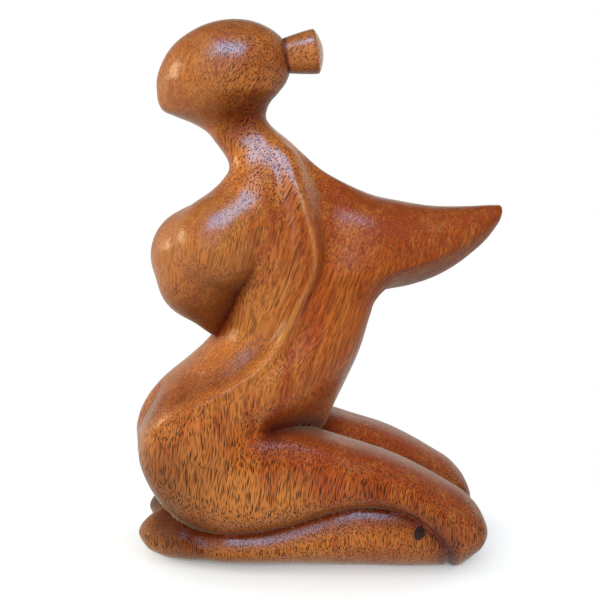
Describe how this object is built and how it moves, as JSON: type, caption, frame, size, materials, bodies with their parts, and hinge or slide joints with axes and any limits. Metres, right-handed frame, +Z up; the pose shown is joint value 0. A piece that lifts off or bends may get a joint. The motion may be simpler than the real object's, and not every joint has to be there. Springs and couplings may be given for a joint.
{
  "type": "carved wooden figure",
  "caption": "Carved hardwood figure of a kneeling woman with a smooth faceless head, a pegged hair bun and outstretched joined arms.",
  "frame": {"origin": "on the floor, under the middle of the figure's bounding box", "axes": "+Z up; +X towards the knees and the joined hands; -X towards the feet and the breasts; Y across the figure"},
  "size_m": [0.209, 0.0968, 0.3],
  "materials": {
    "figure_wood": "polished reddish-brown hardwood with dark vessel lines under a clear gloss",
    "dowel_wood": "plain pale dowel, unfinished, hidden inside",
    "plug_wood": "very dark brown wood under the same gloss"
  },
  "bodies": {
    "root": {"carved_figure": "figure_wood", "hair_bun": "figure_wood", "bun_dowel": "dowel_wood", "knot_plug": "plug_wood"}
  },
  "joints": []
}
